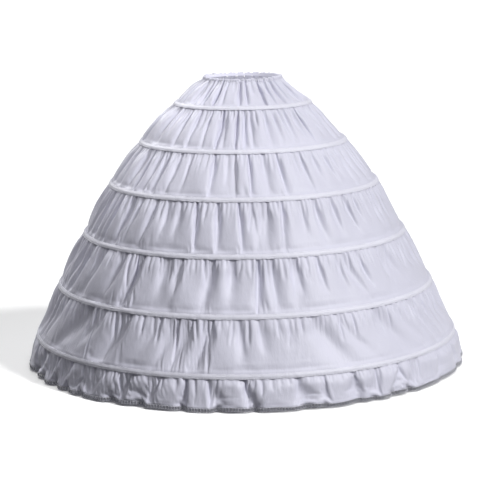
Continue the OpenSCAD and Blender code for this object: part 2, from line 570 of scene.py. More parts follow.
    def offset(self, angle: np.ndarray) -> np.ndarray:
        """How far each point of the first shape stands off the tier's plain cone.

        Gathers and pleats run down from the seam, shallower towards the right of the front, and deeper
        towards -X where that is set. The swell is added, all is held in at the seam, and a groove lies
        along it. Short tucks run up from a sewn lower edge, which is pressed nearly flat.

        Args:
            angle: the columns' angles, from +X.

        Returns:
            rows x columns.
        """
        rng = np.random.default_rng(self.seed)
        share = self.shares()
        below = share * self.slope()
        radius = self.top[0] + (self.foot[0] - self.top[0]) * share
        opened = smooth(below / self.opens_over)
        gathers, pleats, tucks = self.folds(rng)
        off = gathers.offset(angle, radius, share, opened, self.kept)
        off += pleats.offset(angle, radius, share, opened, 0.0)
        right = (0.5 + 0.5 * np.cos(angle - self.CALM_AT)) ** self.CALM_NARROWS
        off *= 1.0 - self.calm * right + self.deeper * self.leftward(angle)
        for layer in self.swell(angle, rng):
            off += layer
        off *= (self.tucked + (1.0 - self.tucked) * smooth(below / self.SEAM_RISE))[:, None]
        off -= (self.groove * np.exp(-(((below - self.GROOVE_AT) / self.GROOVE_WIDTH) ** 2)))[:, None]
        if self.edge is Edge.SEWN_FLAT:
            above = 1.0 - share
            upward = tucks.offset(angle, radius, above, np.ones_like(share), 0.0)
            off += upward * smooth(above / self.TUCK_RISE)[:, None]
            off *= (self.PRESSED[0] + self.PRESSED[1] * smooth(above / self.PRESSED_OVER))[:, None]
        return off

    def placed(self, angle: np.ndarray) -> np.ndarray:
        """The plain cone, with its columns at the given angles, moved along its outward way by the offset.

        A free hem moves level, so that it stays at one height.

        Args:
            angle: the columns' angles, from +X.

        Returns:
            rows x columns x 3.
        """
        share = self.shares()[:, None]
        run = (self.foot - self.top) / self.slope()
        off = self.offset(angle)
        r = self.top[0] + (self.foot[0] - self.top[0]) * share - run[1] * off
        level = 1.0 - share if self.edge is Edge.WAVING else 1.0
        z = self.top[1] + (self.foot[1] - self.top[1]) * share + run[0] * off * level
        hem_rng = np.random.default_rng(self.seed + 1)
        z = z + share * ripple(angle, hem_rng, low=7, high=40, count=9, size=self.hem_wave)[None]
        return ring_points(r, z, np.broadcast_to(angle, r.shape))

    def start(self) -> np.ndarray:
        """The first shape, with columns that lie closer together where the gathers take up more cloth.

        Returns:
            rows x columns x 3.
        """
        angle = np.arange(self.columns()) * TURN / self.columns()
        points = self.placed(angle)
        step = np.linalg.norm(np.roll(points, -1, 1) - points, axis=-1)
        far = np.concatenate([[0.0], np.cumsum((step / step.sum(1, keepdims=True)).mean(0))])
        return self.placed(np.interp(angle / TURN, far, np.append(angle, TURN)))

    def settle(self) -> None:
        """Runs the cloth to rest from its first shape, at the widths that its gathers take up."""
        points = self.start()
        rows, cols = points.shape[:2]
        free = np.ones((rows, 1))
        free[0] = free[-1] = 0.0
        steps = np.linalg.norm(np.diff(points, axis=0), axis=-1)
        warp = np.quantile(steps, self.WARP_QUANTILE, axis=1, keepdims=True)
        self.lengths = np.concatenate([[0.0], np.cumsum(warp)])
        self.widths = np.linalg.norm(np.roll(points, -1, 1) - points, axis=-1).sum(1)
        solver = ClothSolver(points, free, (self.widths / cols)[:, None], warp)
        self.settled = solver.settle(self.passes)

    def tucked_row(self, edge: np.ndarray, past: float, seam: np.ndarray) -> np.ndarray:
        """A plain ring of points past a sewn edge and behind the tape there.

        Args:
            edge: radius and height of the edge.
            past: how far past it, down the cloth.
            seam: the edge's own points, whose angles the ring keeps.

        Returns:
            1 x columns x 3.
        """
        run = (self.foot - self.top) / self.slope()
        r, z = edge + past * run - self.behind * np.array([-run[1], run[0]])
        return ring_points(r, z, np.arctan2(seam[:, 1], seam[:, 0]))[None]

    def sewn(self) -> tuple[np.ndarray, np.ndarray, np.ndarray]:
        """The settled cloth with its seam allowances, tucked behind the tapes.

        Returns:
            Its points, and each row's place down the flat cut and width there.
        """
        points, places, widths = self.settled, self.lengths, self.widths
        if self.top_under:
            points = np.concatenate([self.tucked_row(self.top, -self.top_under, points[0]), points])
            places = np.append(0.0, places + self.top_under)
            widths = np.append(widths[0], widths)
        if self.edge is Edge.SEWN_FLAT:
            points = np.concatenate([points, self.tucked_row(self.foot, self.foot_under, points[-1])])
            places = np.append(places, places[-1] + self.foot_under)
            widths = np.append(widths, widths[-1])
        return points, places, widths

    def patch(self) -> Patch:
        """The sewn cloth with its thickness: one closed loop of rows, down the outside and up the inside.

        Returns:
            The closed sheet.
        """
        mid, places, _ = self.sewn()
        across = np.roll(mid, -1, 1) - np.roll(mid, 1, 1)
        half = 0.5 * self.thick * unit(np.cross(np.gradient(mid, axis=0), across))
        points = np.concatenate([mid + half, (mid - half)[::-1]])
        u = np.arange(mid.shape[1] + 1) / mid.shape[1] * self.widths.max()
        v = np.concatenate([places, places[::-1], [0.0]])
        uv = np.stack(np.broadcast_arrays(u[None], -v[:, None]), -1)
        return Patch.grid(points, uv, True, True)

    def build(self, finish: "Finish", rests_on: list[str]) -> bpy.types.Object:
        """Makes the piece, and hides the node that it stands for.

        Args:
            finish: the cloth's finish.
            rests_on: the nodes that it is sewn to; not used.

        Returns:
            The piece.
        """
        self.settle()
        piece = self.patch().to_object(self.name, finish.material())
        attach(piece, "root")
        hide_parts(self.node)
        return piece


# Trim


@dataclass
class HoopCasing:
    """A tape folded over a hoop's wire: two flat edges with a soft ridge between them, and its stitches.

    Attributes:
        index: the hoop's number, from the waist down.
        radius: the hoop's.
        height: the hoop's.
        along: the way down the tape's width, as radius and height.
        width: of the folded tape.
        edge_t: the thickness of its flat edges.
        ridge: how far the middle stands up over the wire.
        ridge_half: the ridge's half width.
        ridge_power: how square the ridge is.
        pucker: size of the close puckers.
        pucker_waves: fewest and most of them, to a metre of radius.
        sway: size of the slow puckers.
        sway_fewest: fewest of them round the hoop.
        sway_most: most of them round the hoop, before sway_more.
        sway_more: how many more, to a metre of radius.
        uneven: how far the edges wander, as a share of the width.
        uneven_waves: fewest and most such waves, to a metre of radius.
        dimple: depth of the dent along the stitches.
        dimple_half: the dent's half width.
        tunnel: radius of the wire's tunnel.
        gap: the opening at the back.
        spacing: of the points along the tape.
        skin_points: across each face of the tape.
        stitch_pitch: from stitch to stitch.
        stitch_at: the rows' distance from the middle.
        stitch_proud: how far a stitch stands off the tape.
        stitch_share: a stitch's length, as a share of the pitch.
        thread: the thread's radius.
        ply_behind: how far the inner ply lies behind the wire's middle.
        ply_t: the inner ply's thickness.
        ply_overlap: how far the inner ply laps each end of the tape.
        ply_points: along the inner ply.
        seed: starts the draws of chance for the puckers.
        edge_seed: starts those for the edges.
    """

    index: int
    radius: float
    height: float
    along: np.ndarray
    width: float = 0.013
    edge_t: float = 0.0011
    ridge: float = 0.0015
    ridge_half: float = 0.0050
    ridge_power: float = 2.2
    pucker: float = 0.00040
    pucker_waves: tuple[int, int] = (150, 380)
    sway: float = 0.00028
    sway_fewest: int = 9
    sway_most: int = 12
    sway_more: int = 90
    uneven: float = 0.055
    uneven_waves: tuple[int, int] = (180, 330)
    dimple: float = 0.00022
    dimple_half: float = 0.0007
    tunnel: float = 0.0018
    gap: float = 0.026
    spacing: float = 0.007
    skin_points: int = 11
    stitch_pitch: float = 0.0036
    stitch_at: float = 0.0047
    stitch_proud: float = 0.0003
    stitch_share: float = 0.78
    thread: float = 0.00032
    ply_behind: float = 0.0024
    ply_t: float = 0.0008
    ply_overlap: float = 0.004
    ply_points: int = 9
    seed: int = 0
    edge_seed: int = 50

    # The flat tape's width, in widths of the folded one.
    CUT_WIDTHS: ClassVar[float] = 2.2
    LEAST_POINTS: ClassVar[int] = 8

    def angles(self, spacing: float) -> np.ndarray:
        """Even steps from one end of the tape to the other, round from the gap at the back.

        Args:
            spacing: about how far apart.

        Returns:
            The angles, from +X.
        """
        half = 0.5 * self.gap / self.radius
        count = max(self.LEAST_POINTS, round((TURN - 2 * half) * self.radius / spacing))
        return np.linspace(BACK + half, BACK + TURN - half, count)

    def waves(self, to_a_metre: tuple[int, int]) -> dict[str, int]:
        """The fewest and most waves to this hoop's turn, from those to a metre of radius."""
        return {"low": int(to_a_metre[0] * self.radius), "high": int(to_a_metre[1] * self.radius)}

    def stand(self, s: np.ndarray, angle: np.ndarray) -> np.ndarray:
        """How far the outer face stands off the tape's middle: flat edges, a bell-shaped ridge over the
        wire, a dimple along each row of stitches, and small puckers that fade towards the edges.

        Args:
            s: places across the tape, from its middle.
            angle: places along it.

        Returns:
            The heights, as an array like s.
        """
        rng = np.random.default_rng(self.seed + self.index)
        close = ripple(angle, rng, **self.waves(self.pucker_waves), count=8, size=self.pucker)
        most = int(self.sway_more * self.radius) + self.sway_most
        slow = ripple(angle, rng, low=self.sway_fewest, high=most, count=6, size=self.sway)
        shape = 0.5 * self.edge_t + self.ridge * np.exp(-((np.abs(s) / self.ridge_half) ** self.ridge_power))
        dent = self.dimple * np.exp(-(((np.abs(s) - self.stitch_at) / self.dimple_half) ** 2))
        middle = np.clip(1.0 - (np.abs(s) / (0.5 * self.width)) ** 2, 0.0, 1.0)
        return shape - dent + (close + slow) * middle

    def place(self, s: np.ndarray, h: np.ndarray, angle: np.ndarray) -> np.ndarray:
        """Points at s along the tape's width and h off its middle, turned about the axis.

        Args:
            s: places across the tape, from its middle.
            h: heights outwards.
            angle: places along it.

        Returns:
            The points, ... x 3.
        """
        out = np.array([-self.along[1], self.along[0]])
        r = self.radius + s * self.along[0] + h * out[0]
        z = self.height + s * self.along[1] + h * out[1]
        return np.stack([r * np.cos(angle), r * np.sin(angle), z], -1)

    def patch(self) -> Patch:
        """The tape: an outer skin and a round tunnel, both carried round the hoop, joined at the two ends.

        Returns:
            The closed tape, and the inner ply across its gap.
        """
        angle = self.angles(self.spacing)[None]
        half = self.skin_points
        face = 0.5 * self.width * np.sin(np.linspace(-math.pi / 2, math.pi / 2, half))
        rng = np.random.default_rng(self.seed + self.edge_seed + self.index)
        wander = 1.0 + ripple(angle, rng, **self.waves(self.uneven_waves), count=8, size=self.uneven)
        s = np.concatenate([face, face[::-1]])[:, None] * wander
        side = np.concatenate([np.ones(half), -np.ones(half)])[:, None]
        skin = self.place(s, side * self.stand(s, angle), angle)
        spin = np.linspace(math.pi, 0.0, half, endpoint=False)
        spin = np.concatenate([spin, spin - math.pi])[:, None] + 0.0 * angle
        bore = self.place(self.tunnel * np.cos(spin), self.tunnel * np.sin(spin), angle)
        length = (angle[0] - angle[0, 0]) * self.radius
        around = np.arange(2 * half + 1) / (2 * half) * 2.0 * self.width
        uv = np.stack(np.broadcast_arrays(length[None], around[:, None]), -1)
        outside = Patch.grid(skin[::-1], uv[::-1], True, False)
        inside = Patch.grid(bore, uv, True, False)
        ends = [Patch.grid(np.stack([skin[:, i], bore[:, i]][::step], 1), np.stack([uv[:, i]] * 2, 1),
                           True, False)
                for i, step in ((0, 1), (-1, -1))]
        return Patch.joined([outside, inside, self.ply()] + ends)

    def ply(self) -> Patch:
        """The inner ply across the gap: a flat closed strip behind the joiner, that laps the tape's ends.

        Returns:
            The strip.
        """
        cols = self.ply_points
        half = (0.5 * self.gap + self.ply_overlap) / self.radius
        angle = np.linspace(BACK - half, BACK + half, cols)[None]
        s = 0.5 * self.width * np.array([-1.0, 1.0, 1.0, -1.0])[:, None] + 0.0 * angle
        h = -self.ply_behind - self.ply_t * np.array([0.0, 0.0, 1.0, 1.0])[:, None] + 0.0 * angle
        around = np.cumsum([0.0, self.width, self.ply_t, self.width, self.ply_t])
        length = (angle[0] - angle[0, 0]) * self.radius
        uv = np.stack(np.broadcast_arrays(length[None], around[:, None]), -1)
        strip = Patch.grid(self.place(s, h, angle)[::-1], uv[::-1], True, False)
        ends = np.stack([np.arange(3, -1, -1) * cols, np.arange(1, 5) * cols - 1])
        end_uvs = np.zeros((2, 4, 2))
        return Patch(strip.points, np.concatenate([strip.quads, ends]), np.concatenate([strip.uvs, end_uvs]))

    def stitches(self) -> Patch:
        """Two rows of lockstitches: each is a short four-sided grain that lies along the tape.

        Returns:
            All the grains.
        """
        angle = self.angles(self.stitch_pitch)[1:-1]
        rows = np.array([-1.0, 1.0])[:, None] * self.stitch_at + 0 * angle[None]
        turn = np.broadcast_to(angle, rows.shape)
        seat = self.stand(rows, turn) + self.stitch_proud
        spin = np.arange(4) * TURN / 4
        along = np.array([-0.5, 0.5])[:, None] * self.stitch_share * self.stitch_pitch / self.radius
        s = rows[..., None, None] + self.thread * np.cos(spin)
        h = seat[..., None, None] + self.thread * np.sin(spin) + 0.0 * along
        flat = self.place(s, h, turn[..., None, None] + along).reshape(-1, 3)
        near, far = np.arange(4), np.arange(4, 8)
        sides = np.stack([near, np.roll(near, -1), np.roll(far, -1), far], -1)
        grain = np.concatenate([sides, near[None, ::-1], far[None]])
        quads = (np.arange(rows.size)[:, None, None] * 8 + grain).reshape(-1, 4)
        return Patch(flat, quads, np.zeros((len(quads), 4, 2)))

    def build(self, tape: "Finish", thread: "Finish") -> list[bpy.types.Object]:
        """Makes the tape and its stitches.

        Args:
            tape: the tape's finish.
            thread: the stitches' finish.

        Returns:
            The two pieces.
        """
        cover = self.patch().to_object(f"casing_{self.index}", tape.material())
        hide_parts(f"hoop_casing_{self.index}")
        sewn = self.stitches().to_object(f"casing_stitches_{self.index}", thread.material())
        for piece in (cover, sewn):
            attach(piece, "root")
        log.info("casing %d: %d points, %d stitch points", self.index, len(cover.data.vertices),
                 len(sewn.data.vertices))
        return [cover, sewn]


@dataclass
class WaistCasing:
    """The top edge of the cloth, folded down over the elastic and ruched by it.

    Attributes:
        tier: the settled tier that the casing belongs to.
        bore: radius inside.
        tall: the casing's height.
        wall: the cloth's thickness.
        tunnel: room for the elastic.
        lean: how far the outside leans in towards its upper edge.
        ruche: size of the ruching.
        crown: height of the rounded upper edge.
        crown_dips: the share of the gathers that shows in the upper edge.
        fold: the cloth's thickness at the fold.
        rows: up each face.
        turns: steps over the upper edge.
        seed: starts the draws of chance.
    """

    tier: GatheredRing
    bore: float = 0.096
    tall: float = 0.008
    wall: float = 0.0009
    tunnel: float = 0.0016
    lean: float = 0.0016
    ruche: float = 0.0005
    crown: float = 0.0022
    crown_dips: float = 0.8
    fold: float = 0.0008
    rows: int = 7
    turns: int = 8
    seed: int = 5

    # The flat cloth's length, in heights of the folded casing.
    CUT_HEIGHTS: ClassVar[float] = 2.6

    def patch(self) -> Patch:
        """A thick fold carried round: up the ruched outside, over, down the bore, and back inside the fold.

        The outside follows the gathers of the tier below, leans in towards its rounded upper edge, and that
        edge dips a little at each valley.

        Returns:
            The closed fold.
        """
        rng = np.random.default_rng(self.seed)
        seam = self.tier.settled[0]
        angle = np.arctan2(seam[:, 1], seam[:, 0])[None]
        gather = (np.linalg.norm(seam[:, :2], axis=1) - self.tier.top[0])[None]
        ruche = ripple(angle, rng, low=45, high=95, count=9, size=self.ruche)
        share = np.linspace(0.0, 1.0, self.rows)[:, None]
        turn = np.linspace(0.0, math.pi, self.turns)[1:-1, None]
        low, high = -0.5 * self.tall, 0.5 * self.tall
        inner, face = self.bore + self.wall, self.tier.top[0] + 0.5 * self.wall
        outside = face + gather - self.lean * share + ruche * np.sin(math.pi * share)
        half = 0.5 * (outside[-1:] - self.bore)
        crown = high - self.crown + self.crown_dips * gather + self.crown_dips * ruche
        under = crown - self.fold
        rows = [
            (outside, low + (crown - low) * share),
            (self.bore + half + half * np.cos(turn), crown + self.crown * np.sin(turn)),
            (self.bore + 0.0 * (angle + share), crown - (crown - low) * share),
            (inner + 0.0 * (angle + share), low + (under - low) * share),
            (np.maximum(outside[::-1] - self.wall, inner + self.tunnel), under - (under - low) * share),
        ]
        r = np.concatenate([row[0] for row in rows])
        z = np.concatenate([row[1] for row in rows])
        points = ring_points(r, z, np.broadcast_to(angle, r.shape))
        u = np.arange(angle.shape[1] + 1) / angle.shape[1] * self.tier.widths[0]
        step = np.linalg.norm(np.roll(points, -1, 0) - points, axis=-1).mean(1)
        v = np.concatenate([[0.0], np.cumsum(step)])
        uv = np.stack(np.broadcast_arrays(u[None], v[:, None]), -1)
        return Patch.grid(points[::-1], uv[::-1], True, True)

    def build(self, finish: "Finish") -> bpy.types.Object:
        """Args:
            finish: the cloth's finish.

        Returns:
            The piece.
        """
        piece = self.patch().to_object("waist_ruche", finish.material())
        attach(piece, "root")
        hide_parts("waist_casing")
        log.info("waist ruche: %d points", len(piece.data.vertices))
        return piece


@dataclass
class LaceEdging:
    """Looped lace below the flounce: a coiling thread that hangs from a rolled hem.

    Attributes:
        flounce: the settled flounce.
        depth: of the lace.
        pitch: from loop to loop.
        strand: the thread's radius.
        strand_sides: of the thread.
        sway: how far a loop swings along the hem, as a share of the pitch.
        weave: how far the thread passes over itself, in strands.
        roll: the rolled hem's radius.
        roll_sides: of the rolled hem.
        roll_spacing: of its points.
        points_per_loop: of the thread.
    """

    flounce: GatheredRing
    depth: float = 0.009
    pitch: float = 0.0076
    strand: float = 0.00085
    strand_sides: int = 4
    sway: float = 0.40
    weave: float = 0.8
    roll: float = 0.0009
    roll_sides: int = 6
    roll_spacing: float = 0.004
    points_per_loop: int = 12

    def hem(self, count: int) -> tuple[np.ndarray, np.ndarray, np.ndarray]:
        """The flounce's lower edge, evenly along its length, with the ways down and out there.

        Args:
            count: how many points.

        Returns:
            Points, unit vectors down the cloth and unit vectors out of it, each count x 3.
        """
        rim = self.flounce.settled[-1]
        closed = np.concatenate([rim, rim[:1]])
        length = np.concatenate([[0.0], np.cumsum(np.linalg.norm(np.diff(closed, axis=0), axis=1))])
        at = np.arange(count) / count * length[-1]
        line = np.stack([np.interp(at, length, closed[:, i]) for i in range(3)], -1)
        out = unit(line * np.array([1.0, 1.0, 0.0]))
        slope = unit(self.flounce.foot - self.flounce.top)
        down = out * slope[0] + np.array([0.0, 0.0, slope[1]])
        run = unit(np.roll(line, -1, 0) - np.roll(line, 1, 0))
        face = unit(np.cross(run, down))
        return line, down, face

    def patch(self) -> Patch:
        """A thread that loops like a coil along the hem, and the rolled hem itself.

        Down the cloth the thread follows one less the cosine, along the hem and out of it the sine.

        Returns:
            The two closed tubes.
        """
        rim = self.flounce.settled[-1]
        around = np.linalg.norm(np.roll(rim, -1, 0) - rim, axis=1).sum()
        count = round(around / self.pitch) * self.points_per_loop
        line, down, face = self.hem(count)
        run = unit(np.roll(line, -1, 0) - np.roll(line, 1, 0))
        phase = np.arange(count) * TURN / self.points_per_loop
        drop = 0.5 * (self.depth - self.strand) * (1.0 - np.cos(phase))
        sway = self.sway * self.pitch * np.sin(phase)
        lift = self.weave * self.strand * np.sin(phase)
        coil = line + drop[:, None] * down - sway[:, None] * run + lift[:, None] * face
        thread = tube(coil, face, self.strand, self.strand_sides)
        line, _, face = self.hem(round(around / self.roll_spacing))
        return Patch.joined([thread, tube(line, face, self.roll, self.roll_sides)])

    def build(self, finish: "Finish") -> bpy.types.Object:
        """Makes the piece and hides the node that it stands for.

        Args:
            finish: the lace's finish, whose grey is painted shade.

        Returns:
            The piece.
        """
        piece = self.patch().to_object("lace_edging", finish.material())
        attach(piece, "root")
        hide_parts("lace_trim")
        log.info("lace: %d points", len(piece.data.vertices))
        return piece


# Finishes


class NodeBench:
    """A material's node tree, with short calls to add and join nodes."""

    RAMP_ENDS: tuple[float, float] = (0.3, 0.7)

    def __init__(self, name: str) -> None:
        """Starts a material with an empty tree and a surface shader.

        Args:
            name: the material's name.
        """
        self.material = bpy.data.materials.new(name)
        self.material.use_nodes = True
        self.tree = self.material.node_tree
        self.tree.nodes.clear()
        self.shader = self.add("ShaderNodeBsdfPrincipled")
        output = self.add("ShaderNodeOutputMaterial")
        self.join(self.shader.outputs["BSDF"], output.inputs["Surface"])

    def add(self, kind: str, inputs: dict | None = None, **settings: object) -> bpy.types.Node:
        """Adds a node.

        Args:
            kind: Blender's name for it.
            inputs: values for its sockets, by name or number.
            settings: values for its own fields.

        Returns:
            The node.
        """
        node = self.tree.nodes.new(kind)
        for key, value in settings.items():
            setattr(node, key, value)
        for key, value in (inputs or {}).items():
            node.inputs[key].default_value = value
        return node

    def join(self, source: bpy.types.NodeSocket, target: bpy.types.NodeSocket) -> None:
        """Links an output to an input."""
        self.tree.links.new(source, target)

    def constants(self, **values: float) -> None:
        """Sets the shader's sockets to constants, by their names with underscores for spaces."""
        for key, value in values.items():
            self.shader.inputs[key.replace("_", " ")].default_value = value

    def noise(self, vector: bpy.types.NodeSocket, scale: float, detail: float = 3.0, rough: float = 0.5,
              kind: str = "FBM") -> bpy.types.NodeSocket:
        """A noise field, from 0 to 1 unless it is a ridged one.

        Args:
            vector: the coordinates.
            scale: cells to a unit of them.
            detail: how many finer layers it has.
            rough: how strong those are.
            kind: Blender's name for the sort of noise.

        Returns:
            The field.
        """
        settings = {"Scale": scale, "Detail": detail, "Roughness": rough}
        node = self.add("ShaderNodeTexNoise", settings, noise_type=kind)
        self.join(vector, node.inputs["Vector"])
        return node.outputs["Fac"]

    def stretched(self, vector: bpy.types.NodeSocket, scale: tuple[float, float]) -> bpy.types.NodeSocket:
        """The coordinates, stretched along the first two axes.

        Args:
            vector: the coordinates.
            scale: how much, along each.

        Returns:
            The stretched ones.
        """
        node = self.add("ShaderNodeMapping", {"Scale": (*scale, 1.0)})
        self.join(vector, node.inputs["Vector"])
        return node.outputs["Vector"]

    def ramp(self, value: bpy.types.NodeSocket, low: Colour, high: Colour) -> bpy.types.NodeSocket:
        """A colour between two.

        Args:
            value: from 0 to 1.
            low: the colour up to the ramp's first end.
            high: the colour from its second.

        Returns:
            The colour.
        """
        node = self.add("ShaderNodeValToRGB")
        for element, position, colour in zip(node.color_ramp.elements, self.RAMP_ENDS, (low, high)):
            element.position = position
            element.color = (*colour, 1.0)
        self.join(value, node.inputs["Fac"])
        return node.outputs["Color"]

    def span(self, value: bpy.types.NodeSocket, low: float, high: float) -> bpy.types.NodeSocket:
        """A value from 0 to 1 carried to another range.

        Args:
            value: the value.
            low: what 0 becomes.
            high: what 1 becomes.

        Returns:
            The new value.
        """
        node = self.add("ShaderNodeMapRange", {"To Min": low, "To Max": high})
        self.join(value, node.inputs["Value"])
        return node.outputs["Result"]

    def bump(self, height: bpy.types.NodeSocket, depth: float, strength: float,
             under: bpy.types.NodeSocket | None = None) -> bpy.types.NodeSocket:
        """A normal from a height field, on top of another where one is given.

        Args:
            height: the field.
            depth: what a height of 1 stands for.
            strength: how much of it shows.
            under: the normal that it lies on.

        Returns:
            The normal.
        """
        node = self.add("ShaderNodeBump", {"Strength": strength, "Distance": depth})
        self.join(height, node.inputs["Height"])
        if under is not None:
            self.join(under, node.inputs["Normal"])
        return node.outputs["Normal"]


@dataclass(frozen=True)
class Finish:
    """A finish: its slot and name, and the nodes that make it."""

    slot: Slot
    name: str

    def dress(self, bench: NodeBench) -> None:
        """Adds the finish's nodes."""
        raise NotImplementedError

    def material(self) -> bpy.types.Material:
        """The finish's material, made once.

        Returns:
            The material.
        """
        name = f"{self.name}_finish"
        if name not in bpy.data.materials:
            self.dress(NodeBench(name))
        return bpy.data.materials[name]


@dataclass(frozen=True)
class WovenFinish(Finish):
    """Plain woven cloth: two crossing sets of threads, slubs along them, soft creases and sharp crinkles.

    Attributes:
        light: the lighter colour.
        dark: the darker colour.
        thread: from thread to thread.
        rough: least and most roughness.
        sheen: of the fibres.
        crease: depth of the creases.
        closer: how much closer the creases lie than on the broad cloth.
        mottle: cells of slow colour to a metre.
        slubs: slubs to a metre, across and down.
        creases: soft creases to a metre, across and down.
        crumples: small crumples to a metre, across and down.
        crinkles: sharp crinkles to a metre, across and down.
    """

    light: Colour = (0.64, 0.637, 0.74)
    dark: Colour = (0.60, 0.597, 0.695)
    thread: float = 0.0009
    rough: tuple[float, float] = (0.42, 0.56)
    sheen: float = 0.15
    crease: float = 0.0010
    closer: float = 1.0
    mottle: float = 9.0
    slubs: tuple[float, float] = (60.0, 900.0)
    creases: tuple[float, float] = (34.0, 16.0)
    crumples: tuple[float, float] = (120.0, 42.0)
    crinkles: tuple[float, float] = (36.0, 22.0)

    # Crumples and crinkles are this deep in creases, slubs and threads in metres.
    CRUMPLE_DEPTH: ClassVar[float] = 0.9
    CRINKLE_DEPTH: ClassVar[float] = 1.5
    SLUB_DEPTH: ClassVar[float] = 0.00005
    THREAD_DEPTH: ClassVar[float] = 0.00006
    CELLS_TO_A_WAVE: ClassVar[float] = 3.2

    def dress(self, bench: NodeBench) -> None:
        """Colour from slow noise, roughness from slubs, and bumps from creases, slubs and threads.

        Args:
            bench: the material's node tree.
        """
        place = bench.add("ShaderNodeTexCoord")
        uv, here = place.outputs["UV"], place.outputs["Object"]
        colour = bench.ramp(bench.noise(here, self.mottle, detail=4.0), self.dark, self.light)
        bench.join(colour, bench.shader.inputs["Base Color"])
        slub = bench.noise(bench.stretched(uv, self.slubs), scale=1.0, detail=2.0)
        bench.join(bench.span(slub, *self.rough), bench.shader.inputs["Roughness"])
        soft = bench.noise(bench.stretched(uv, self.creases), self.closer, detail=4.0, rough=0.55)
        normal = bench.bump(soft, self.crease, strength=0.7)
        small = bench.noise(bench.stretched(uv, self.crumples), self.closer, detail=3.0, rough=0.6)
        normal = bench.bump(small, self.CRUMPLE_DEPTH * self.crease, strength=0.8, under=normal)
        sharp = bench.noise(bench.stretched(uv, self.crinkles), self.closer, kind="RIDGED_MULTIFRACTAL")
        normal = bench.bump(sharp, self.CRINKLE_DEPTH * self.crease, strength=0.8, under=normal)
        normal = bench.bump(slub, self.SLUB_DEPTH, strength=0.5, under=normal)
        waves = {"Scale": 1.0 / self.thread / self.CELLS_TO_A_WAVE, "Distortion": 0.6, "Detail": 1.0}
        for turn in ("X", "Y"):
            wave = bench.add("ShaderNodeTexWave", waves, bands_direction=turn, wave_profile="SIN")
            bench.join(uv, wave.inputs["Vector"])
            normal = bench.bump(wave.outputs["Fac"], self.THREAD_DEPTH, strength=0.35, under=normal)
        bench.join(normal, bench.shader.inputs["Normal"])
        bench.constants(Sheen_Weight=self.sheen, Sheen_Roughness=0.45, Specular_IOR_Level=0.3)


@dataclass(frozen=True)
class ThreadFinish(Finish):
    """Twisted thread: fine slanting strands."""

    light: Colour = (0.80, 0.80, 0.87)
    dark: Colour = (0.66, 0.66, 0.73)
    rough: float = 0.6
    twist: float = 900.0
    twist_depth: float = 0.00008

    def dress(self, bench: NodeBench) -> None:
        """Slanting bands for the twist, in colour and bump.

        Args:
            bench: the material's node tree.
        """
        place = bench.add("ShaderNodeTexCoord").outputs["Object"]
        waves = {"Scale": self.twist, "Distortion": 2.0}
        wave = bench.add("ShaderNodeTexWave", waves, bands_direction="DIAGONAL")
        bench.join(place, wave.inputs["Vector"])
        bench.join(bench.ramp(wave.outputs["Fac"], self.dark, self.light), bench.shader.inputs["Base Color"])
        normal = bench.bump(wave.outputs["Fac"], self.twist_depth, strength=0.4)
        bench.join(normal, bench.shader.inputs["Normal"])
        bench.constants(Roughness=self.rough)


@dataclass(frozen=True)
class MetalFinish(Finish):
    """Coated wire or plain sleeve: a little mottling, and finer changes of gloss."""

    light: Colour = (0.9, 0.9, 0.9)
    dark: Colour = (0.82, 0.82, 0.82)
    metal: float = 0.0
    rough: tuple[float, float] = (0.3, 0.45)
    mottle: float = 120.0
    mottle_depth: float = 0.00005
    gloss: float = 700.0

    def dress(self, bench: NodeBench) -> None:
        """Noise in colour, roughness and a fine bump.

        Args:
            bench: the material's node tree.
        """
        place = bench.add("ShaderNodeTexCoord").outputs["Object"]
        mottle = bench.noise(place, self.mottle, detail=4.0)
        gloss = bench.noise(place, self.gloss)
        bench.join(bench.ramp(mottle, self.dark, self.light), bench.shader.inputs["Base Color"])
        bench.join(bench.span(gloss, *self.rough), bench.shader.inputs["Roughness"])
        normal = bench.bump(mottle, self.mottle_depth, strength=0.3)
        bench.join(normal, bench.shader.inputs["Normal"])
        bench.constants(Metallic=self.metal)


@dataclass(frozen=True)
class FloorFinish(Finish):
    """A pale matt studio floor."""

    light: Colour = (0.97, 0.97, 0.97)
    dark: Colour = (0.95, 0.95, 0.95)
    mottle: float = 0.8

    def dress(self, bench: NodeBench) -> None:
        """Nearly white, with the faintest mottling.

        Args:
            bench: the material's node tree.
        """
        place = bench.add("ShaderNodeTexCoord").outputs["Object"]
        colour = bench.ramp(bench.noise(place, self.mottle), self.dark, self.light)
        bench.join(colour, bench.shader.inputs["Base Color"])
        bench.constants(Roughness=0.9, Specular_IOR_Level=0.1)


# The whole


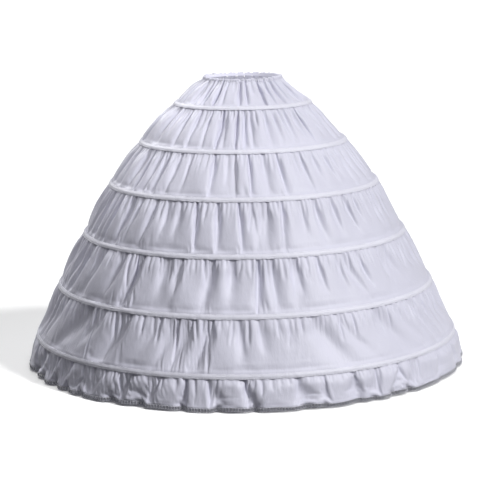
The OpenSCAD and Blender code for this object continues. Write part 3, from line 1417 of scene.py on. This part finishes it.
@dataclass
class SkirtForm:
    """The petticoat's plain form, with the sizes that the solids have.

    Attributes:
        radii: of the waistband's lower edge, the hoops and the hem.
        heights: of the same.
        tape_w: the casing tape's width.
        seam_gap: from a tape's edge to the cloth's.
    """

    radii: tuple[float, ...] = (0.1027, 0.177, 0.270, 0.352, 0.4225, 0.4925, 0.554, 0.566)
    heights: tuple[float, ...] = (-0.004, -0.062, -0.161, -0.269, -0.398, -0.532, -0.664, -0.736)
    tape_w: float = 0.013
    seam_gap: float = 0.0002

    def hem(self) -> int:
        """The hem's number, which is the flounce's too."""
        return len(self.radii) - 1

    def hoops(self) -> range:
        """The hoops' numbers, from the waist down."""
        return range(1, self.hem())

    def level(self, i: int) -> np.ndarray:
        """Radius and height of the waistband's lower edge, a hoop or the hem."""
        return np.array([self.radii[i], self.heights[i]])

    def tier_dir(self, i: int) -> np.ndarray:
        """The way down tier i, as radius and height."""
        return unit(self.level(i) - self.level(i - 1))

    def tape_dir(self, i: int) -> np.ndarray:
        """The way down hoop i's tape: half way between the tiers above and below it."""
        return unit(self.tier_dir(i) + self.tier_dir(i + 1))

    def top(self, i: int) -> np.ndarray:
        """Where tier i's gathered edge lies.

        Args:
            i: the tier's number, from the waist down.

        Returns:
            Radius and height.
        """
        if i == 1:
            return self.level(0) - np.array([0.0, self.seam_gap])
        return self.level(i - 1) + self.tape_dir(i - 1) * (0.5 * self.tape_w + self.seam_gap)

    def foot(self, i: int) -> np.ndarray:
        """Where tier i's lower edge lies.

        Args:
            i: the tier's number, from the waist down.

        Returns:
            Radius and height.
        """
        if i == self.hem():
            return self.level(i)
        return self.level(i) - self.tape_dir(i) * (0.5 * self.tape_w + self.seam_gap)


@dataclass(frozen=True)
class TierCut:
    """How one tier is gathered. The fields mean what they mean on a gathered ring."""

    gathers: int
    depth: float
    half_width: float
    kept: float
    slant: float
    fan: float
    belly: float
    calm: float
    deeper: float


@dataclass
class Petticoat:
    """The whole piece of clothing: its cloth, its casings, its waist and its lace."""

    form: SkirtForm = field(default_factory=SkirtForm)
    cuts: tuple[TierCut, ...] = (
        TierCut(34, 0.0155, 0.0045, kept=0.50, slant=0.02, fan=0.0, belly=0.008, calm=0.20, deeper=0.0),
        TierCut(46, 0.0175, 0.0058, kept=0.42, slant=0.03, fan=0.0, belly=0.010, calm=0.30, deeper=0.0),
        TierCut(54, 0.0190, 0.0072, kept=0.35, slant=0.03, fan=0.02, belly=0.006, calm=0.55, deeper=0.0),
        TierCut(56, 0.0205, 0.0092, kept=0.25, slant=0.04, fan=0.04, belly=0.007, calm=0.60, deeper=0.1),
        TierCut(54, 0.0215, 0.0105, kept=0.20, slant=0.05, fan=0.08, belly=0.006, calm=0.45, deeper=0.3),
        TierCut(50, 0.0230, 0.0125, kept=0.20, slant=0.06, fan=0.22, belly=0.002, calm=0.25, deeper=0.5),
    )
    cloth: WovenFinish = WovenFinish(Slot.TAFFETA, "taffeta_cloth")
    tape: WovenFinish = WovenFinish(
        Slot.TAPE, "casing_tape", light=(0.73, 0.727, 0.815), dark=(0.68, 0.677, 0.765), rough=(0.45, 0.6),
        crease=0.0005, closer=3.0)
    thread: ThreadFinish = ThreadFinish(Slot.TAPE, "sewing_thread")
    # The lace's grey is painted shade: the lace is white, and its colours are darkened to stand for the
    # shadow in its gaps and under the hem.
    lace: ThreadFinish = ThreadFinish(
        Slot.LACE, "lace_thread_painted_shade", light=(0.54, 0.54, 0.59), dark=(0.40, 0.40, 0.45))
    elastic: WovenFinish = WovenFinish(
        Slot.ELASTIC, "waist_elastic", light=(0.90, 0.89, 0.87), dark=(0.80, 0.79, 0.77), thread=0.0014)
    wire: MetalFinish = MetalFinish(Slot.WIRE, "coated_wire")
    joiner: MetalFinish = MetalFinish(
        Slot.JOINER, "joiner_sleeve", light=(0.70, 0.70, 0.72), dark=(0.55, 0.55, 0.57), metal=1.0)

    SEEDS_APART: ClassVar[int] = 100

    def tiers(self) -> list[GatheredRing]:
        """The six gathered tiers, from the waist down. The first runs on into the waist casing.

        Returns:
            The tiers.
        """
        at_waist = {"tucked": 1.0, "lift": 0.3, "groove": 0.0, "top_under": 0.0, "rows": 18}
        return [GatheredRing(f"cloth_tier_{i}", f"tier_{i}", self.form.top(i), self.form.foot(i),
                             seed=self.SEEDS_APART * i, **asdict(cut), **(at_waist if i == 1 else {}))
                for i, cut in enumerate(self.cuts, 1)]

    def ruffle(self) -> GatheredRing:
        """The flounce: deep slanting gathers that open into a waving hem.

        Returns:
            The flounce.
        """
        i = self.form.hem()
        return GatheredRing("cloth_flounce", "flounce", self.form.top(i), self.form.foot(i), gathers=48,
                            depth=0.0205, seed=self.SEEDS_APART * i, edge=Edge.WAVING, half_width=0.0125,
                            kept=0.5, pleats_each=1.6, slant=0.13, fan=0.05, puff=0.0050, opens_over=0.045,
                            deeper=0.9, flare=0.011, hem_wave=0.0012, rows=18)

    def finish_hidden(self) -> None:
        """Gives the solids that stay as they are, elastic, wires and joiners, their finishes."""
        finishes = {"waist_elastic": self.elastic, "hoop_wire": self.wire, "hoop_joiner": self.joiner}
        for name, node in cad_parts.items():
            for start, finish in finishes.items():
                if name.startswith(start):
                    node.data.materials.clear()
                    node.data.materials.append(finish.material())
                    log.info("%s: finished as %s", name, finish.name)

    def build(self) -> None:
        """Makes every piece."""
        rings = self.tiers()
        for i, ring in enumerate(rings, 1):
            held = "waist_casing" if i == 1 else f"hoop_casing_{i - 1}"
            ring.build(self.cloth, [held, f"hoop_casing_{i}"])
        WaistCasing(rings[0]).build(self.cloth)
        for i in self.form.hoops():
            casing = HoopCasing(i, self.form.radii[i], self.form.heights[i], self.form.tape_dir(i))
            casing.build(self.tape, self.thread)
        flounce = self.ruffle()
        flounce.build(self.cloth, [f"hoop_casing_{len(rings)}"])
        LaceEdging(flounce).build(self.lace)
        self.finish_hidden()


@dataclass
class Studio:
    """Floor, light and camera.

    Powers are in watts, or in watts to a square metre for the broad lamps, whose sizes are in degrees.
    The camera's lens and sensor are in millimetres, its pitch and roll in degrees.
    """

    floor_z: float
    floor_half: float = 30.0
    camera_at: Xyz = (0.014, -4.847, 0.4415)
    pitch: float = 10.525
    roll: float = -0.8
    lens: float = 133.5
    sensor: float = 36.0
    sight: float = 200.0
    key_from: Xyz = (0.645, -0.452, 0.616)
    key_power: float = 2.75
    key_size: float = 10.0
    top_from: Xyz = (0.05, -0.34, 0.94)
    top_power: float = 0.65
    top_size: float = 50.0
    back_from: Xyz = (-0.45, 0.70, 0.55)
    back_power: float = 1.7
    back_size: float = 25.0
    wash_power: float = 1.3
    fill_at: Xyz = (-0.48, -0.42, 0.32)
    fill_to: Xyz = (0.0, 0.0, -0.15)
    fill_power: float = 1.3
    fill_size: float = 0.35
    glow_at: Xyz = (0.0, 0.0, -0.10)
    glow_power: float = 0.55
    glow_size: float = 0.05
    bright_way: Xyz = (0.60, -0.30, 0.74)
    bright_span: tuple[float, float] = (-0.5, 0.95)
    ambient: tuple[float, float] = (0.09, 0.17)
    ambient_colour: Colour = (0.97, 0.98, 1.0)
    backdrop: Colour = (1.0, 1.0, 1.0)

    @staticmethod
    def sun(name: str, way: Xyz, power: float, size: float) -> bpy.types.Object:
        """A broad lamp far off.

        Args:
            name: the lamp's name.
            way: the direction that it stands in.
            power: watts to a square metre.
            size: how wide it looks, in degrees.

        Returns:
            The lamp's object.
        """
        lamp = bpy.data.lights.new(name, "SUN")
        lamp.energy = power
        lamp.angle = math.radians(size)
        holder = bpy.data.objects.new(name, lamp)
        holder.rotation_euler = (-Vector(way)).to_track_quat("-Z", "Y").to_euler()
        bpy.context.scene.collection.objects.link(holder)
        return holder

    @staticmethod
    def near_lamp(name: str, kind: str, power: float, at: Xyz) -> bpy.types.Object:
        """A small lamp close by, which the camera doesn't see.

        Args:
            name: the lamp's name.
            kind: Blender's name for the sort of lamp.
            power: watts.
            at: its place.

        Returns:
            The lamp's object.
        """
        lamp = bpy.data.lights.new(name, kind)
        lamp.energy = power
        holder = bpy.data.objects.new(name, lamp)
        holder.location = at
        holder.visible_camera = False
        bpy.context.scene.collection.objects.link(holder)
        return holder

    def floor(self) -> None:
        """A wide plain floor under the hem, a lamp overhead that whitens only the floor, and a lamp behind
        that spares it."""
        side = np.linspace(-self.floor_half, self.floor_half, 2)
        x, y = np.meshgrid(side, side)
        points = np.stack([x, y, np.full_like(x, self.floor_z)], -1)
        uv = np.stack([x, y], -1)
        finish = FloorFinish(Slot.TAPE, "studio_floor")
        piece = Patch.grid(points[::-1], uv[::-1], False, False).to_object("studio_floor", finish.material())
        piece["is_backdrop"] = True
        piece.visible_diffuse = False
        only_floor, but_floor = (bpy.data.collections.new(name) for name in ("only_floor", "all_but_floor"))
        only_floor.objects.link(piece)
        but_floor.objects.link(piece)
        but_floor.collection_objects[0].light_linking.link_state = "EXCLUDE"
        wash = self.sun("floor_wash", (0.0, 0.0, 1.0), self.wash_power, self.top_size)
        wash.light_linking.receiver_collection = only_floor
        back = self.sun("back", self.back_from, self.back_power, self.back_size)
        back.light_linking.receiver_collection = but_floor
        log.info("studio floor at %.4f m", self.floor_z)

    def surround(self) -> None:
        """A soft surround that is bright to the upper right and dark to the left, and seen as plain white.

        Its strength eases from least to most with the cosine of the angle from the bright way.
        """
        world = bpy.data.worlds.new("studio")
        bpy.context.scene.world = world
        world.use_nodes = True
        nodes, links = world.node_tree.nodes, world.node_tree.links
        nodes.clear()
        coords = nodes.new("ShaderNodeTexCoord")
        dot = nodes.new("ShaderNodeVectorMath")
        dot.operation = "DOT_PRODUCT"
        dot.inputs[1].default_value = unit(np.array(self.bright_way)).tolist()
        level = nodes.new("ShaderNodeMapRange")
        level.interpolation_type = "SMOOTHSTEP"
        ends = zip(("From Min", "From Max", "To Min", "To Max"), self.bright_span + self.ambient)
        for key, value in ends:
            level.inputs[key].default_value = value
        soft = nodes.new("ShaderNodeBackground")
        soft.inputs["Color"].default_value = (*self.ambient_colour, 1.0)
        seen = nodes.new("ShaderNodeBackground")
        seen.inputs["Color"].default_value = (*self.backdrop, 1.0)
        mix = nodes.new("ShaderNodeMixShader")
        path = nodes.new("ShaderNodeLightPath")
        output = nodes.new("ShaderNodeOutputWorld")
        links.new(coords.outputs["Generated"], dot.inputs[0])
        links.new(dot.outputs["Value"], level.inputs["Value"])
        links.new(level.outputs["Result"], soft.inputs["Strength"])
        links.new(path.outputs["Is Camera Ray"], mix.inputs["Fac"])
        links.new(soft.outputs["Background"], mix.inputs[1])
        links.new(seen.outputs["Background"], mix.inputs[2])
        links.new(mix.outputs["Shader"], output.inputs["Surface"])

    def lamps(self) -> None:
        """One broad key light, a broad lamp overhead, a small lamp above the left of the waist, and inside
        a glow for the daylight that comes through the cloth."""
        self.sun("key", self.key_from, self.key_power, self.key_size)
        self.sun("overhead", self.top_from, self.top_power, self.top_size)
        fill = self.near_lamp("top_fill", "AREA", self.fill_power, self.fill_at)
        fill.data.size = self.fill_size
        aim = Vector(self.fill_to) - Vector(self.fill_at)
        fill.rotation_euler = aim.to_track_quat("-Z", "Y").to_euler()
        glow = self.near_lamp("inner_glow", "POINT", self.glow_power, self.glow_at)
        glow.data.shadow_soft_size = self.glow_size

    def camera(self) -> None:
        """The photo's camera: a long lens, a little above the waist, looking down."""
        lens = bpy.data.cameras.new("camera")
        lens.lens = self.lens
        lens.sensor_width = self.sensor
        lens.clip_end = self.sight
        holder = bpy.data.objects.new("camera", lens)
        tilt = Matrix.Rotation(math.radians(90.0 - self.pitch), 4, "X")
        spin = Matrix.Rotation(math.radians(self.roll), 4, "Z")
        holder.matrix_world = Matrix.Translation(self.camera_at) @ (tilt @ spin)
        bpy.context.scene.collection.objects.link(holder)
        bpy.context.scene.camera = holder
        bpy.context.scene.view_settings.view_transform = "Standard"


def main() -> None:
    """Builds the petticoat, then the studio."""
    logging.basicConfig(level=logging.INFO, format="%(name)s: %(message)s")
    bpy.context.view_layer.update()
    Petticoat().build()
    studio = Studio(floor_z=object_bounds()[0][2] - FLOOR_CLEARANCE)
    studio.floor()
    studio.surround()
    studio.lamps()
    studio.camera()


if __name__ == "__main__":
    main()
